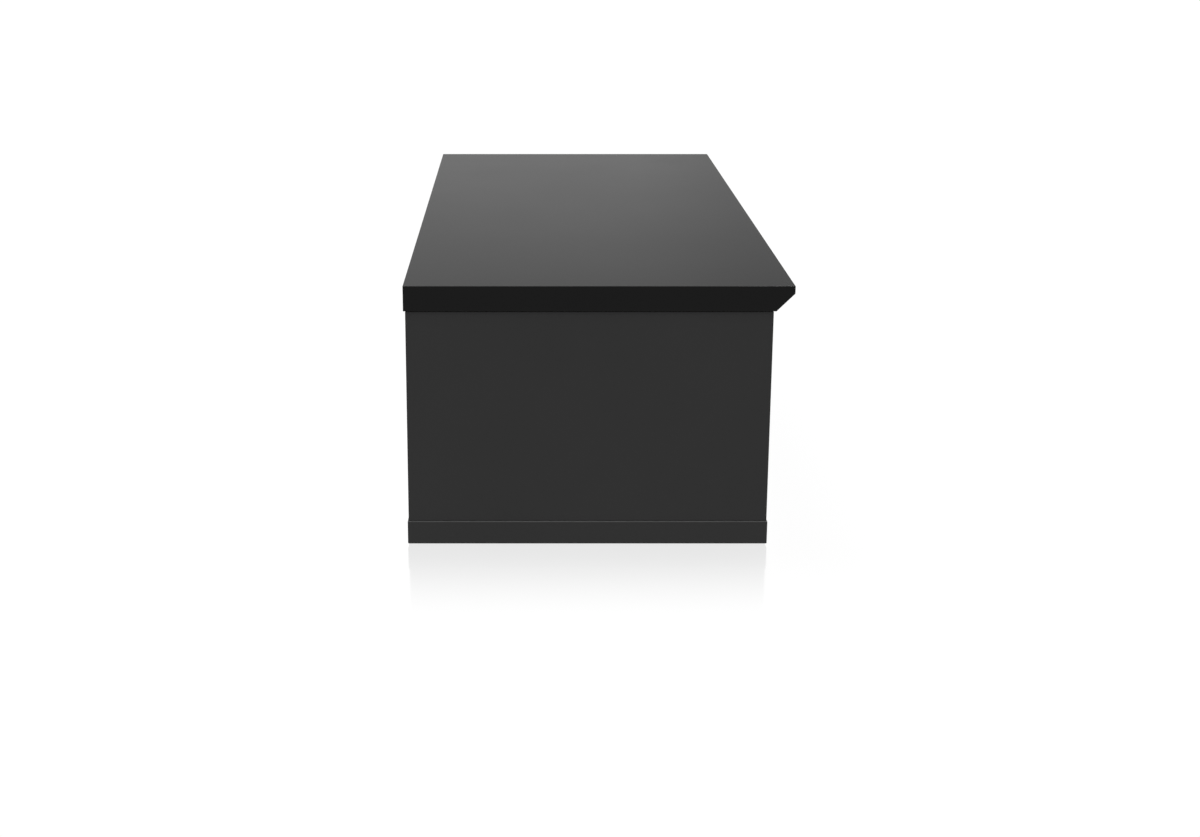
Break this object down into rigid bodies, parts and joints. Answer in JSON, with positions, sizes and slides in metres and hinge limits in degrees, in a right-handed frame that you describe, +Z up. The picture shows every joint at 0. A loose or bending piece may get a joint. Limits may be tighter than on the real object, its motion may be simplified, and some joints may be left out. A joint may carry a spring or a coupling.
{
  "type": "lift top coffee table",
  "caption": "Rectangular box coffee table on a plinth; its whole top swings up and forward, staying level, over a divided storage box.",
  "frame": {"origin": "on the floor, under the middle of the closed top", "axes": "+X along the table's length, to the right as seen from the front; +Y from the front, with the bevelled finger edge, to the back; +Z up"},
  "size_m": [1.2, 0.6, 0.425],
  "materials": {
    "body_lacquer": "matte graphite lacquer on board",
    "top_lacquer": "satin black lacquer on board",
    "mechanism_steel": "satin powder coat",
    "zinc_steel": "zinc plated",
    "spring_steel": "drawn wire, oiled",
    "nylon": "natural nylon",
    "rubber": "matte"
  },
  "bodies": {
    "carcass": {"back_panel": "body_lacquer", "bottom_board": "body_lacquer", "drive_pivot_left": "zinc_steel", "drive_pivot_right": "zinc_steel", "end_panel_left": "body_lacquer", "end_panel_right": "body_lacquer", "front_panel": "body_lacquer", "glide_back_left": "nylon", "glide_back_right": "nylon", "glide_front_left": "nylon", "glide_front_right": "nylon", "mechanism_plate_left": "mechanism_steel", "mechanism_plate_right": "mechanism_steel", "plate_screw_left_1": "zinc_steel", "plate_screw_left_2": "zinc_steel", "plate_screw_left_3": "zinc_steel", "plate_screw_right_1": "zinc_steel", "plate_screw_right_2": "zinc_steel", "plate_screw_right_3": "zinc_steel", "plinth_back": "body_lacquer", "plinth_cross_rail": "body_lacquer", "plinth_front": "body_lacquer", "plinth_left": "body_lacquer", "plinth_right": "body_lacquer", "rear_pivot_left": "zinc_steel", "rear_pivot_right": "zinc_steel", "spring_sleeve_left": "nylon", "spring_sleeve_right": "nylon", "stop_buffer_left": "rubber", "stop_buffer_right": "rubber", "storage_divider": "body_lacquer", "top_bumper_back_left": "rubber", "top_bumper_back_right": "rubber", "top_bumper_front_left": "rubber", "top_bumper_front_right": "rubber", "torsion_spring_left": "spring_steel", "torsion_spring_right": "spring_steel"},
    "drive_arms": {"cross_tube": "mechanism_steel", "drive_arm_left": "mechanism_steel", "drive_arm_right": "mechanism_steel", "drive_bush_left": "nylon", "drive_bush_right": "nylon"},
    "rear_arm_left": {"rear_arm_left": "mechanism_steel", "rear_bush_left": "nylon"},
    "rear_arm_right": {"rear_arm_right": "mechanism_steel", "rear_bush_right": "nylon"},
    "lift_top": {"bracket_screw_left_1": "zinc_steel", "bracket_screw_left_2": "zinc_steel", "bracket_screw_left_3": "zinc_steel", "bracket_screw_right_1": "zinc_steel", "bracket_screw_right_2": "zinc_steel", "bracket_screw_right_3": "zinc_steel", "table_top": "top_lacquer", "top_bracket_left": "mechanism_steel", "top_bracket_right": "mechanism_steel", "top_drive_rivet_left": "zinc_steel", "top_drive_rivet_right": "zinc_steel", "top_rear_rivet_left": "zinc_steel", "top_rear_rivet_right": "zinc_steel"}
  },
  "joints": [
    {"name": "lift", "type": "hinge", "parent": "carcass", "child": "drive_arms", "pos_m": [0, -0.048, 0.30926], "axis": [1, 0, 0], "range_deg": [0, 103], "stiffness_Nm_per_rad": 11, "springref_deg": 114.59, "deforming": ["torsion_spring_left", "torsion_spring_right"]},
    {"name": "rear_arm_swing_left", "type": "hinge", "parent": "carcass", "child": "rear_arm_left", "pos_m": [-0.5, 0.03357, 0.27122], "axis": [1, 0, 0], "range_deg": [0, 103]},
    {"name": "rear_arm_swing_right", "type": "hinge", "parent": "carcass", "child": "rear_arm_right", "pos_m": [0.5, 0.03357, 0.27122], "axis": [1, 0, 0], "range_deg": [0, 103]},
    {"name": "top_level", "type": "hinge", "parent": "drive_arms", "child": "lift_top", "pos_m": [0, 0.16719, 0.355], "axis": [1, 0, 0], "range_deg": [-103, 0]}
  ],
  "couplings": [
    {"joint": "rear_arm_swing_left", "follows": "lift", "ratio": 1},
    {"joint": "rear_arm_swing_right", "follows": "lift", "ratio": 1},
    {"joint": "top_level", "follows": "lift", "ratio": -1}
  ]
}
